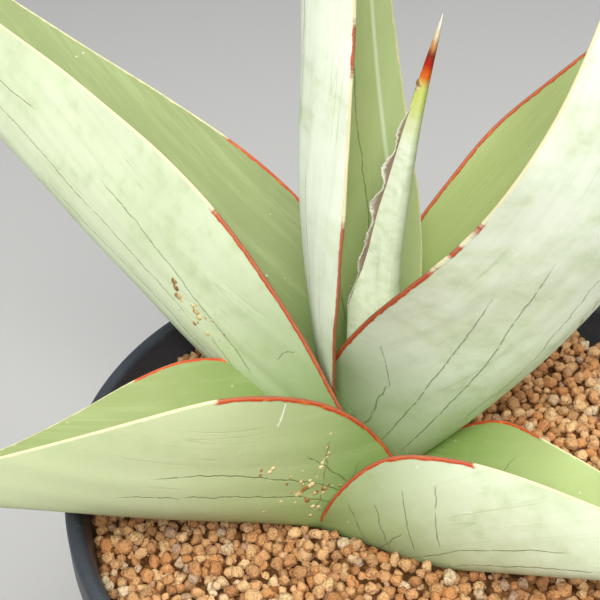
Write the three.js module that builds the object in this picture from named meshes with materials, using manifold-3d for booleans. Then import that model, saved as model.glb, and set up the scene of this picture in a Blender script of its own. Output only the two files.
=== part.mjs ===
// A potted snake plant: a rosette of seven thick, channelled leaves on a short rhizome, in a bed of baked-clay
// granules that fills a round black grower's pot.
// Millimetres, +Z up. The origin is the centre of the pot's flat underside. +X is right and -Y is the front.
import * as THREE from "three";
import { mergeVertices } from "three/addons/utils/BufferGeometryUtils.js";
import Module from "manifold-3d";

// ---- Driving dimensions -------------------------------------------------------------------------------------

const CLEARANCE = 0.3; // gap between pieces that touch

const POT = {
  height: 130,
  rimRadius: 75, // outside of the rolled rim
  rimWidth: 3.5, // across the top of the rolled rim
  rimDepth: 9, // height of the band below the top of the rim
  footRadius: 54, // outside of the wall where it meets the foot
  footRound: 3, // rounding between the wall and the underside
  wall: 2,
  floor: 3,
  segments: 48,
};

const DRAIN = {
  holes: 6,
  radius: 4.5,
  circle: 34, // radius of the ring of holes
  sides: 20,
};

const SOIL = {
  belowRim: 7, // mean depth of the surface below the top of the rim
  swell: 0.8, // height of the low humps in the surface
  swellLength: 34, // distance from hump to hump
  rings: 6,
};

const RHIZOME = {
  centre: [-10, 4], // under the middle of the rosette
  belowRim: 14, // depth of its flat top, which the leaves stand on, below the top of the rim
  radius: 20,
  length: 30,
  sides: 20,
};

const ROOTS = {
  count: 6,
  radius: 2.4,
  reach: 40, // how far out the tips run
  drop: 46, // how far down the tips run
  bend: 0.55, // share of the reach that is covered in the first half
  firstHeading: 20,
  sides: 8,
  steps: 7,
};

// A leaf starts at base, measured from the centre of the top of the rim, and grows along a curved path.
// heading: compass direction in degrees from +X towards +Y, at the base and at the tip.
// rise:    degrees above level at the base, the middle and the tip.
// roll:    degrees that the channel is turned about the path, at the same three places.
// width:   half of the blade's unrolled width at the base and where it is widest.
// fold:    degrees that each half of the blade leans up out of flat, at the same three places.
// keel:    how round the fold is, from 0 for a sharp crease.
// taper:   1 narrows evenly to the tip, and more keeps the blade broad for longer.
// Leaves run from the oldest, outermost one to the youngest. Where two bases nest, the older one keeps its shape.
const LEAVES = [
  {
    name: "leaf_lower_right",
    base: [-11, -6, -20],
    length: 95,
    thickness: 5,
    heading: [-28, -33],
    rise: [25, 36, 24],
    roll: [6, 40, 21],
    width: [15, 29],
    widestAt: 0.29,
    taper: 0.9,
    fold: [37, 67, 52],
    keel: 0.3,
    colour: 0xc9d9a6,
  },
  {
    name: "leaf_lower_left",
    base: [-10, -7, -14],
    length: 102,
    thickness: 5,
    heading: [203, 195],
    rise: [32, 6, 10],
    roll: [-24, -31, -47],
    width: [14.5, 34],
    widestAt: 0.39,
    taper: 1.07,
    fold: [73, 33, 24],
    keel: 0.5,
    colour: 0xb4bd8c,
  },
  {
    name: "leaf_upper_left",
    base: [-15, 4, -12],
    length: 214,
    thickness: 5.5,
    heading: [149, 152],
    rise: [28, 24, 44],
    roll: [-15, -42, -28],
    width: [18, 37],
    widestAt: 0.28,
    taper: 1.2,
    fold: [60, 56, 42],
    keel: 0.5,
    colour: 0xd4e2bb,
  },
  {
    name: "leaf_right",
    base: [-10.4, 7.8, -13.5],
    length: 213,
    thickness: 5.5,
    heading: [0, 10],
    rise: [48, 65, 123],
    roll: [43, -7, 80],
    width: [19.6, 39.8],
    widestAt: 0.34,
    taper: 1.9,
    fold: [59, 12, 20],
    keel: 0.6,
    colour: 0xc6d6b0,
  },
  {
    name: "leaf_right_back",
    base: [-4, 14.8, -16.8],
    length: 175,
    thickness: 5,
    heading: [40, 37],
    rise: [47, 34, 28],
    roll: [7, 4, 0],
    width: [17.3, 34],
    widestAt: 0.31,
    taper: 1.7,
    fold: [74, 57, 40],
    keel: 0.5,
    colour: 0xa9b877,
  },
  {
    name: "leaf_upright",
    base: [-13, 17, -15],
    length: 232,
    thickness: 4.5,
    heading: [166, 172],
    rise: [74, 102, 86],
    roll: [32, -12, -15],
    width: [9, 21],
    widestAt: 0.24,
    taper: 0.85,
    fold: [38, 44, 37],
    keel: 0.55,
    colour: 0xd9e6c4,
  },
  {
    name: "leaf_spear",
    base: [-8, 11, -15],
    length: 110,
    thickness: 3.5,
    heading: [0, 0],
    rise: [95, 88, 78],
    roll: [0, 0, 0],
    width: [4.5, 7.5],
    widestAt: 0.42,
    taper: 0.5,
    fold: [80, 80, 80],
    keel: 0.6,
    colour: 0xcddcae,
  },
];

const LEAF_MESH = {
  stations: 20, // along the path
  pathSteps: 8, // finer steps of the path between two stations
  across: 8, // strips on each face
  marginShare: 0.25, // thickness of the margin as a share of the keel's
  thinning: 1.5, // how fast the blade thins from the keel to the margin
  shoulder: 0.12, // how softly the blade turns from widening to narrowing
};

const COLOURS = { pot: 0x17181b, soil: 0xc79a63, rhizome: 0xb98d55 };

// ---- Solids -------------------------------------------------------------------------------------------------

const wasm = await Module();
wasm.setup();
const MERGE_DISTANCE = 1e-3;

/** A closed geometry as a solid: shared corners are merged and the slivers that this leaves are dropped. */
function solidOf(geometry) {
  const bare = geometry.index ? geometry.toNonIndexed() : geometry.clone();
  bare.deleteAttribute("normal");
  bare.deleteAttribute("uv");
  const merged = mergeVertices(bare, MERGE_DISTANCE);
  const corners = merged.index.array;
  const kept = [];
  for (let i = 0; i < corners.length; i += 3) {
    const [a, b, c] = [corners[i], corners[i + 1], corners[i + 2]];
    if (a !== b && b !== c && c !== a) kept.push(a, b, c);
  }
  return new wasm.Manifold(
    new wasm.Mesh({
      numProp: 3,
      vertProperties: merged.attributes.position.array,
      triVerts: new Uint32Array(kept),
    }),
  );
}

/** A solid as a geometry with a face normal on each triangle. */
function geometryOf(solid) {
  const mesh = solid.getMesh();
  const indexed = new THREE.BufferGeometry();
  indexed.setAttribute("position", new THREE.BufferAttribute(mesh.vertProperties, 3));
  indexed.setIndex(new THREE.BufferAttribute(mesh.triVerts, 1));
  const geometry = indexed.toNonIndexed();
  geometry.computeVertexNormals();
  return geometry;
}

/** The biggest connected piece of a solid. */
function mainPiece(solid) {
  return solid.decompose().reduce((best, piece) => (piece.volume() > best.volume() ? piece : best));
}

/** A profile of [radius, height] pairs turned about the vertical axis. */
function turned(profile, segments) {
  const points = profile.map(([radius, height]) => new THREE.Vector2(radius, height));
  return new THREE.LatheGeometry(points, segments).rotateX(Math.PI / 2);
}

/** Points on an arc of a circle, as [radius, height] pairs, with the angles in degrees. */
function arc(centre, radius, from, to, steps) {
  return Array.from({ length: steps + 1 }, (_, i) => {
    const angle = THREE.MathUtils.degToRad(from + ((to - from) * i) / steps);
    return [centre[0] + radius * Math.cos(angle), centre[1] + radius * Math.sin(angle)];
  });
}

// ---- Pot ----------------------------------------------------------------------------------------------------

const rimInside = POT.rimRadius - POT.rimWidth;
const wallRun = rimInside + POT.wall - POT.footRadius;

/** Inner radius of the wall at a height above the underside. */
function insideRadius(height) {
  return POT.footRadius - POT.wall + (wallRun * height) / POT.height;
}

/** Tapered wall with a rolled rim band, a flat floor and a ring of drain holes. */
function potSolid() {
  const lip = POT.rimWidth / 2;
  const bandFoot = POT.height - POT.rimDepth;
  const arcSteps = 4;
  const profile = [
    [0, 0],
    ...arc([POT.footRadius - POT.footRound, POT.footRound], POT.footRound, -90, 0, arcSteps),
    [insideRadius(bandFoot) + POT.wall, bandFoot],
    [POT.rimRadius, bandFoot],
    ...arc([POT.rimRadius - lip, POT.height - lip], lip, 0, 180, arcSteps + 2),
    ...arc([insideRadius(POT.floor) - POT.footRound, POT.floor + POT.footRound], POT.footRound, 0, -90, arcSteps),
    [0, POT.floor],
  ];
  let pot = solidOf(turned(profile, POT.segments));
  for (let i = 0; i < DRAIN.holes; i += 1) {
    const angle = (2 * Math.PI * i) / DRAIN.holes;
    const drill = new THREE.CylinderGeometry(DRAIN.radius, DRAIN.radius, 4 * POT.floor, DRAIN.sides)
      .rotateX(Math.PI / 2)
      .translate(DRAIN.circle * Math.cos(angle), DRAIN.circle * Math.sin(angle), 0);
    pot = pot.subtract(solidOf(drill));
  }
  return pot;
}

// ---- Leaves -------------------------------------------------------------------------------------------------

const rimCentre = new THREE.Vector3(0, 0, POT.height);
const radians = THREE.MathUtils.degToRad;

/** A smooth run through a start, a pull and an end value: the quadratic Bezier formula. */
function run([start, middle, end], t) {
  return start * (1 - t) ** 2 + 2 * middle * t * (1 - t) + end * t ** 2;
}

/** Half of the blade's width at t: a quarter sine up to the widest place, then a power curve down to the tip. */
function halfWidth(leaf, t) {
  const [atBase, widest] = leaf.width;
  if (t < leaf.widestAt) return atBase + (widest - atBase) * Math.sin((Math.PI / 2) * (t / leaf.widestAt));
  const past = (t - leaf.widestAt) / (1 - leaf.widestAt);
  const { shoulder } = LEAF_MESH;
  const eased = (Math.hypot(past, shoulder) - shoulder) / (Math.hypot(1, shoulder) - shoulder);
  return widest * (1 - eased ** leaf.taper);
}

/** Unit vectors at t: along the path, across the blade, and up out of the channel. */
function leafAxes(leaf, t) {
  const heading = radians(leaf.heading[0] + (leaf.heading[1] - leaf.heading[0]) * t);
  const rise = radians(run(leaf.rise, t));
  const roll = radians(run(leaf.roll, t));
  const along = new THREE.Vector3(
    Math.cos(rise) * Math.cos(heading),
    Math.cos(rise) * Math.sin(heading),
    Math.sin(rise),
  );
  const side = new THREE.Vector3(Math.sin(heading), -Math.cos(heading), 0);
  const across = side.clone().applyAxisAngle(along, -roll);
  return { along, across, up: across.clone().cross(along) };
}

/** The centre line as a list of points, one for each station, summed from its direction in short steps. */
function leafPath(leaf) {
  const point = new THREE.Vector3(...leaf.base).add(rimCentre);
  const points = [point.clone()];
  const steps = LEAF_MESH.stations * LEAF_MESH.pathSteps;
  for (let i = 0; i < steps; i += 1) {
    const middle = (i + 0.5) / steps;
    point.addScaledVector(leafAxes(leaf, middle).along, leaf.length / steps);
    if ((i + 1) % LEAF_MESH.pathSteps === 0) points.push(point.clone());
  }
  return points;
}

/**
 * One point of the blade's section as [across, up]. v runs from -1 to 1, from margin to margin. The channel's
 * inner face is a hyperbola with its round bottom at v = 0, and the outer face lies a thickness below it,
 * thickest at the keel. margin is clearance that is added on every side.
 */
function sectionPoint(leaf, t, v, isOuter, margin) {
  const width = halfWidth(leaf, t) + margin;
  const fold = radians(run(leaf.fold, t));
  const { keel } = leaf;
  const depth = Math.sqrt(1 + keel ** 2) - keel;
  const bend = (Math.sqrt(v ** 2 + keel ** 2) - keel) / depth;
  const slope = v / Math.sqrt(v ** 2 + keel ** 2) / depth;
  const tangent = new THREE.Vector2(Math.cos(fold), Math.sin(fold) * slope).normalize();
  const thinning = 1 - (1 - LEAF_MESH.marginShare) * Math.abs(v) ** LEAF_MESH.thinning;
  const thickness = leaf.thickness * thinning * Math.sqrt(halfWidth(leaf, t) / leaf.width[1]);
  const offset = isOuter ? -thickness - margin : margin;
  return [
    width * Math.cos(fold) * v - tangent.y * offset,
    width * Math.sin(fold) * bend + tangent.x * offset,
  ];
}

/** The closed blade: rings of section points along the path, capped at the base and drawn to a point at the tip. */
function leafSolid(leaf, margin = 0) {
  const path = leafPath(leaf);
  const { stations, across } = LEAF_MESH;
  const positions = [];
  const rings = [];
  for (let i = 0; i < stations; i += 1) {
    const t = i / stations;
    const axes = leafAxes(leaf, t);
    const ring = [];
    for (let j = 0; j <= 2 * across + 1; j += 1) {
      const isOuter = j > across;
      const v = isOuter ? 1 - (2 * (j - across - 1)) / across : (2 * j) / across - 1;
      const [x, y] = sectionPoint(leaf, t, v, isOuter, margin);
      const point = path[i].clone().addScaledVector(axes.across, x).addScaledVector(axes.up, y);
      if (i === 0) point.addScaledVector(axes.along, -margin);
      ring.push(point);
    }
    rings.push(ring);
  }
  const tip = path[stations].clone().addScaledVector(leafAxes(leaf, 1).along, margin);
  const addTriangle = (a, b, c) => positions.push(...a.toArray(), ...b.toArray(), ...c.toArray());
  const size = rings[0].length;
  for (let j = 0; j < size; j += 1) {
    const next = (j + 1) % size;
    for (let i = 0; i + 1 < stations; i += 1) {
      addTriangle(rings[i][j], rings[i][next], rings[i + 1][next]);
      addTriangle(rings[i][j], rings[i + 1][next], rings[i + 1][j]);
    }
    addTriangle(rings[stations - 1][j], rings[stations - 1][next], tip);
  }
  const cap = rings[0];
  for (let j = 0; j < across; j += 1) {
    const [a, b, c, d] = [cap[j], cap[j + 1], cap[size - 2 - j], cap[size - 1 - j]];
    addTriangle(a, c, b);
    addTriangle(a, d, c);
  }
  const geometry = new THREE.BufferGeometry();
  geometry.setAttribute("position", new THREE.Float32BufferAttribute(positions, 3));
  return solidOf(geometry);
}

/** Each leaf cut off level where it stands on the rhizome, and cut back where an older leaf's base wraps it. */
function nestedLeaves() {
  const below = new THREE.BoxGeometry(4 * POT.rimRadius, 4 * POT.rimRadius, POT.height);
  below.translate(0, 0, POT.height / 2 - RHIZOME.belowRim + CLEARANCE);
  const ground = solidOf(below);
  const older = [];
  return LEAVES.map((leaf) => {
    let solid = leafSolid(leaf).subtract(ground);
    for (const wrap of older) solid = solid.subtract(wrap);
    older.push(leafSolid(leaf, CLEARANCE));
    return mainPiece(solid);
  });
}

// ---- Rhizome and roots --------------------------------------------------------------------------------------

/** A short, round-ended underground stem with thick roots, grown as one piece. extra is clearance all round. */
function rhizomeSolid(extra = 0) {
  const radius = RHIZOME.radius + extra;
  const top = POT.height - RHIZOME.belowRim + extra;
  const bottom = top - RHIZOME.length - 2 * extra;
  const endRound = RHIZOME.radius / 2;
  const arcSteps = 4;
  const profile = [
    [0, bottom],
    ...arc([radius - endRound, bottom + endRound], endRound, -90, 0, arcSteps),
    ...arc([radius - endRound, top - endRound], endRound, 0, 90, arcSteps),
    [0, top],
  ];
  const [x, y] = RHIZOME.centre;
  const middle = (top + bottom) / 2;
  let stem = solidOf(turned(profile, RHIZOME.sides).translate(x, y, 0));
  const ring = new THREE.Shape();
  ring.absarc(0, 0, ROOTS.radius + extra, 0, 2 * Math.PI);
  for (let i = 0; i < ROOTS.count; i += 1) {
    const heading = radians(ROOTS.firstHeading) + (2 * Math.PI * i) / ROOTS.count;
    const at = (reach, drop) =>
      new THREE.Vector3(x + reach * Math.cos(heading), y + reach * Math.sin(heading), middle - drop);
    const path = new THREE.QuadraticBezierCurve3(
      at(0, 0),
      at(ROOTS.bend * ROOTS.reach, 0),
      at(ROOTS.reach + extra, ROOTS.drop),
    );
    const root = new THREE.ExtrudeGeometry(ring, {
      steps: ROOTS.steps,
      extrudePath: path,
      bevelEnabled: false,
      curveSegments: ROOTS.sides / 2,
    });
    stem = stem.add(solidOf(root));
  }
  return stem;
}

// ---- Soil ---------------------------------------------------------------------------------------------------

/** The granule bed: it follows the inside of the pot, and its top rolls in low humps. */
function soilSolid() {
  const bottom = POT.floor + CLEARANCE;
  const level = POT.height - SOIL.belowRim;
  const bottomRound = POT.footRound;
  const inner = insideRadius(POT.floor) - CLEARANCE;
  const edge = insideRadius(level) - CLEARANCE;
  const arcSteps = 3;
  const profile = [
    [0, bottom],
    ...arc([inner - bottomRound, bottom + bottomRound], bottomRound, -90, 0, arcSteps),
    ...Array.from({ length: SOIL.rings }, (_, i) => [edge * (1 - i / SOIL.rings), level]),
    [0, level],
  ];
  const geometry = turned(profile, POT.segments);
  const corners = geometry.attributes.position;
  const wave = (2 * Math.PI) / SOIL.swellLength;
  for (let i = 0; i < corners.count; i += 1) {
    const [x, y, z] = [corners.getX(i), corners.getY(i), corners.getZ(i)];
    const inFromEdge = 1 - (Math.hypot(x, y) / edge) ** 4;
    const hump = Math.sin(wave * x) * Math.cos(wave * y);
    if (z > level - CLEARANCE) corners.setZ(i, z + SOIL.swell * hump * inFromEdge);
  }
  return solidOf(geometry);
}

// ---- Assembly -----------------------------------------------------------------------------------------------

const plant = new THREE.Group();

function addPiece(name, solid, colour, roughness) {
  const material = new THREE.MeshStandardMaterial({ color: colour, roughness, metalness: 0 });
  const mesh = new THREE.Mesh(geometryOf(solid), material);
  mesh.name = name;
  plant.add(mesh);
}

const leafSolids = nestedLeaves();
const buried = [...LEAVES.map((leaf) => leafSolid(leaf, CLEARANCE)), rhizomeSolid(CLEARANCE)];
const soil = mainPiece(buried.reduce((solid, wrap) => solid.subtract(wrap), soilSolid()));

addPiece("pot", potSolid(), COLOURS.pot, 0.55);
addPiece("soil", soil, COLOURS.soil, 0.95);
addPiece("rhizome", rhizomeSolid(), COLOURS.rhizome, 0.8);
LEAVES.forEach((leaf, i) => addPiece(leaf.name, leafSolids[i], leaf.colour, 0.6));

export default plant;
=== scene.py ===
"""The looks of a potted snake plant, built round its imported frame.

Every surface is worked out with numpy as a function of two parameters. The frame is in metres, with +Z up,
the origin at the middle of the pot's underside, +X to the right and -Y at the front. Leaf sizes are in
millimetres.
"""
import math

import bpy
import numpy as np
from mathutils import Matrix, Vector
from mathutils.bvhtree import BVHTree


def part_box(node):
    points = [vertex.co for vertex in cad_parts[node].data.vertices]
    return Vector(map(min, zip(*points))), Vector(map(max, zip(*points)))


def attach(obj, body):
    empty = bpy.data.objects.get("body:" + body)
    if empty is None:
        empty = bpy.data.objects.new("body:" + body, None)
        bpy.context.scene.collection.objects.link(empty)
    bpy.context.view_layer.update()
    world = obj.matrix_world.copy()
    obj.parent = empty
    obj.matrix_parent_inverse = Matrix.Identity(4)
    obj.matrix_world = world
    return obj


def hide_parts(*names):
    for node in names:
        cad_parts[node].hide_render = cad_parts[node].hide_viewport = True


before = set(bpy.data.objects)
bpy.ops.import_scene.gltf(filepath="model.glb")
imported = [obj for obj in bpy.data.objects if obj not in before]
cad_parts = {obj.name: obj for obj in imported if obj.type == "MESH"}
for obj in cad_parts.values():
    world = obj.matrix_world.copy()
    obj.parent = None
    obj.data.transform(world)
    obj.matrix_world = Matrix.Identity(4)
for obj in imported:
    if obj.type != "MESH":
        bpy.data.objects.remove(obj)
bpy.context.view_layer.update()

MM = 0.001
SEED = 7

# ---- Sizes that come from the frame ----

RIM_RADIUS, _, POT_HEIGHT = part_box("pot")[1]
SOIL_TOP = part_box("soil")[1][2]
RHIZOME_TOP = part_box("rhizome")[1][2]

# ---- The pot, in metres ----

RIM_WIDTH = 3.5 * MM  # across the top of the rolled rim
RIM_DEPTH = 9 * MM
FOOT_RADIUS = 54 * MM
FOOT_ROUND = 3 * MM
WALL = 2 * MM
FLOOR = 3 * MM
DRAIN_HOLES = 6
DRAIN_RADIUS = 4.5 * MM
DRAIN_CIRCLE = 34 * MM

# ---- How the leaves grow, in millimetres and degrees ----

# A leaf starts at base, measured from the centre of the top of the rim, and follows a curved path.
# heading: compass direction from +X towards +Y, at the base and at the tip.
# rise:    degrees above level at the base, the middle and the tip.
# roll:    turn of the channel about the path, at the same three places.
# width:   half of the unrolled blade at the base and where it is widest.
# fold:    lean of each half of the blade up out of flat, at the same three places.
# keel:    how round the fold is. taper: how long the blade keeps its breadth.
# red:     the stretches of the margin that are red horn, for the right-hand margin and the left-hand one.
# horn:    breadth of the red horn on each face, in millimetres.
# bloom, channel: screen colours of the outer face and of the inner one. Each leaf's pair is made lighter or
# darker as painted light and shade for how that leaf faces the lamps, and the inner face's deeper green is
# partly its own and partly painted shade in the channel.
# The spear has bands of colour instead of the last four.
LEAVES = {
    "leaf_lower_right": dict(
        base=(-11, -6, -20), length=95, thickness=5, heading=(-28, -33), rise=(25, 36, 24),
        roll=(6, 40, 21), width=(15, 29), widest_at=0.29, taper=0.9, fold=(37, 67, 52), keel=0.3,
        red=([(0.0, 0.46)], [(0.1, 0.42)]), horn=0.78, bloom="e4eed0", channel="b2c27e",
    ),
    "leaf_lower_left": dict(
        base=(-10, -7, -14), length=102, thickness=5, heading=(203, 195), rise=(32, 6, 10),
        roll=(-24, -31, -47), width=(14.5, 34), widest_at=0.39, taper=1.07, fold=(73, 33, 24), keel=0.5,
        red=([(0.1, 0.5)], [(0.0, 0.43)]), horn=0.78, bloom="c8d2a4", channel="8a985c",
    ),
    "leaf_upper_left": dict(
        base=(-15, 4, -12), length=214, thickness=5.5, heading=(149, 152), rise=(28, 24, 44),
        roll=(-15, -42, -28), width=(18, 37), widest_at=0.28, taper=1.2, fold=(60, 56, 42), keel=0.5,
        red=([(0.1, 0.37)], [(0.0, 0.27)]), horn=0.7, bloom="e0eac8", channel="7c8a4e",
    ),
    "leaf_right": dict(
        base=(-10.4, 7.8, -13.5), length=213, thickness=5.5, heading=(0, 10), rise=(48, 65, 123),
        roll=(43, -7, 80), width=(19.6, 39.8), widest_at=0.34, taper=1.9, fold=(59, 12, 20), keel=0.6,
        red=([(0.0, 0.325), (0.345, 0.362), (0.386, 0.402)], [(0.1, 0.3)]), horn=0.8,
        bloom="f2fae4", channel="a0ae6a",
    ),
    "leaf_right_back": dict(
        base=(-4, 14.8, -16.8), length=175, thickness=5, heading=(40, 37), rise=(47, 34, 28),
        roll=(7, 4, 0), width=(17.3, 34), widest_at=0.31, taper=1.7, fold=(74, 57, 40), keel=0.5,
        red=([(0.1, 0.4)], [(0.1, 0.72)]), horn=0.65, bloom="e0eac8", channel="a6b46e",
    ),
    "leaf_upright": dict(
        base=(-13, 17, -15), length=232, thickness=4.5, heading=(166, 172), rise=(74, 102, 86),
        roll=(32, -12, -15), width=(9, 21), widest_at=0.24, taper=0.85, fold=(38, 44, 37), keel=0.55,
        red=([(0.0, 0.1)], [(0.05, 0.31), (0.43, 0.47)]), horn=0.42, bloom="f2fae4", channel="b0be7c",
    ),
    "leaf_spear": dict(
        base=(-8, 11, -15), length=110, thickness=3.5, heading=(0, 0), rise=(95, 88, 78),
        roll=(0, 0, 0), width=(4.5, 7.5), widest_at=0.42, taper=0.5, fold=(80, 80, 80), keel=0.6,
    ),
}
MARGIN_SHARE = 0.13  # thickness of the margin as a share of the keel's
THINNING = 1.5  # how fast the blade thins from the keel to the margin
SHOULDER = 0.12  # how softly the blade turns from widening to narrowing
PATH_STEPS = 400
SWELLS = [(0.22, (46, 24)), (0.06, (90, 5))]  # height of the faces' swells, and how long and broad they are
MARGIN_WANDER, WANDER_WAVE = 0.35, (22, 30)  # how far the margin wanders from its curve, and how soon
CALM_WIDTH = 10  # half width under which swells and wander fade
FACE_APART = 90  # keeps the two faces' swells from being the same

# ---- Meshes ----


def new_piece(name, points, faces, smooth=True, body="root"):
    """A mesh object at the origin from an (n, 3) array of metres and an (m, 3 or 4) array of corners."""
    mesh = bpy.data.meshes.new(name)
    mesh.from_pydata(np.asarray(points, float).tolist(), [], [list(face) for face in faces])
    mesh.polygons.foreach_set("use_smooth", np.full(len(mesh.polygons), smooth))
    mesh.update()
    piece = bpy.data.objects.new(name, mesh)
    bpy.context.scene.collection.objects.link(piece)
    if body:
        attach(piece, body)
    return piece


def add_attribute(piece, name, values):
    """Keeps a number, or three, for each vertex: values has one column or three."""
    values = np.asarray(values, np.float32)
    kind, field = ("FLOAT", "value") if values.ndim == 1 else ("FLOAT_VECTOR", "vector")
    attribute = piece.data.attributes.new(name, kind, "POINT")
    attribute.data.foreach_set(field, values.ravel())


def grid_faces(rows, columns, wrap=False, start=0):
    """Quads between the points of a row-by-row grid. With wrap, the last column joins the first."""
    i = np.arange(rows - 1)[:, None]
    j = np.arange(columns if wrap else columns - 1)[None, :]
    after = (j + 1) % columns
    quad = [i * columns + j, i * columns + after, (i + 1) * columns + after, (i + 1) * columns + j]
    corners = [np.broadcast_to(corner, (rows - 1, j.size)) for corner in quad]
    return start + np.stack(corners, -1).reshape(-1, 4)


def closed_rings(rings, first, last):
    """Points and faces of a skin through rows of points, with a fan to one more point at each end."""
    rows, columns = rings.shape[:2]
    j = np.arange(columns)
    after = (j + 1) % columns
    end = (rows - 1) * columns
    hub = np.full_like(j, rows * columns)
    faces = grid_faces(rows, columns, wrap=True)[:, ::-1].tolist()
    faces += np.stack([hub, j, after], -1).tolist()
    faces += np.stack([hub + 1, end + after, end + j], -1).tolist()
    return np.vstack([rings.reshape(-1, 3), first, last]), faces


def ripple(rng, places, wavelengths, waves=6):
    """Soft random swell about -1 to 1: the mean of a few sines with random directions and phases."""
    total = np.zeros(places[0].shape)
    for _ in range(waves):
        turn, phase = rng.uniform(0, 2 * np.pi, 2)
        pace = rng.uniform(0.7, 1.4)
        along = places[0] / wavelengths[0] * np.cos(turn) + places[1] / wavelengths[1] * np.sin(turn)
        total += np.sin(2 * np.pi * pace * along + phase)
    return total / math.sqrt(waves)


# ---- Leaves ----


def run(values, t):
    """A smooth run through a start, a pull and an end value: the quadratic Bezier formula."""
    start, middle, end = values
    return start * (1 - t) ** 2 + 2 * middle * t * (1 - t) + end * t**2


def leaf_axes(leaf, t):
    """Unit vectors at t along the path, across the blade and up out of the channel, each (n, 3)."""
    first, last = leaf["heading"]
    heading = np.radians(first + (last - first) * t)
    rise = np.radians(run(leaf["rise"], t))
    roll = np.radians(run(leaf["roll"], t))[:, None]
    along = np.stack([np.cos(rise) * np.cos(heading), np.cos(rise) * np.sin(heading), np.sin(rise)], -1)
    side = np.stack([np.sin(heading), -np.cos(heading), np.zeros_like(heading)], -1)
    normal = np.cross(side, along)
    return along, side * np.cos(roll) + normal * np.sin(roll), normal * np.cos(roll) - side * np.sin(roll)


def leaf_path(leaf, t):
    """Points of the centre line at t: the direction summed in short steps from the base."""
    fine = np.linspace(0, 1, PATH_STEPS + 1)
    along = leaf_axes(leaf, (fine[1:] + fine[:-1]) / 2)[0]
    steps = np.vstack([np.zeros(3), np.cumsum(along, 0) * leaf["length"] / PATH_STEPS])
    centre = np.stack([np.interp(t, fine, steps[:, axis]) for axis in range(3)], -1)
    return centre + np.array(leaf["base"]) + np.array([0, 0, POT_HEIGHT / MM])


def half_width(leaf, t):
    """A quarter sine up to the widest place, then a power curve down to the tip."""
    base, widest = leaf["width"]
    at = leaf["widest_at"]
    swelling = base + (widest - base) * np.sin(np.pi / 2 * np.clip(t / at, 0, 1))
    past = np.clip((t - at) / (1 - at), 0, 1)
    eased = (np.sqrt(past**2 + SHOULDER**2) - SHOULDER) / (math.sqrt(1 + SHOULDER**2) - SHOULDER)
    narrowing = widest * (1 - eased ** leaf["taper"])
    return np.where(t < at, swelling, narrowing)


def blade_point(leaf, t, v, inner, lift=0.0):
    """
    Points of the blade in millimetres. t runs from base to tip and v from margin to margin, both (n,) or
    (n, m). inner is 1 on the channel's face, -1 on the outer face and between them round the margin. The
    channel is a hyperbola, bend = (sqrt(v^2 + keel^2) - keel) / depth, with its round bottom at v = 0. The
    outer face lies a thickness under it. lift raises the point off its face.
    """
    shape = np.broadcast_shapes(np.shape(t), np.shape(v))
    t, v, inner = (np.broadcast_to(value, shape).astype(float) for value in (t, v, inner))
    along, across, up = (axis.reshape(shape + (3,)) for axis in leaf_axes(leaf, t.ravel()))
    width = half_width(leaf, t)
    fold = np.radians(run(leaf["fold"], t))
    keel = leaf["keel"]
    depth = math.sqrt(1 + keel**2) - keel
    bend = (np.sqrt(v**2 + keel**2) - keel) / depth
    slope = v / np.sqrt(v**2 + keel**2) / depth
    tangent_x, tangent_y = np.cos(fold), np.sin(fold) * slope
    norm = np.hypot(tangent_x, tangent_y)
    thickness = leaf["thickness"] * (1 - (1 - MARGIN_SHARE) * np.abs(v) ** THINNING)
    thickness = thickness * np.sqrt(width / leaf["width"][1])
    offset = thickness * (inner - 1) / 2 + lift * np.sign(inner)
    x = width * np.cos(fold) * v - tangent_y / norm * offset
    y = width * np.sin(fold) * bend + tangent_x / norm * offset
    centre = leaf_path(leaf, t.ravel()).reshape(shape + (3,))
    return centre + across * x[..., None] + up * y[..., None]


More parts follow.
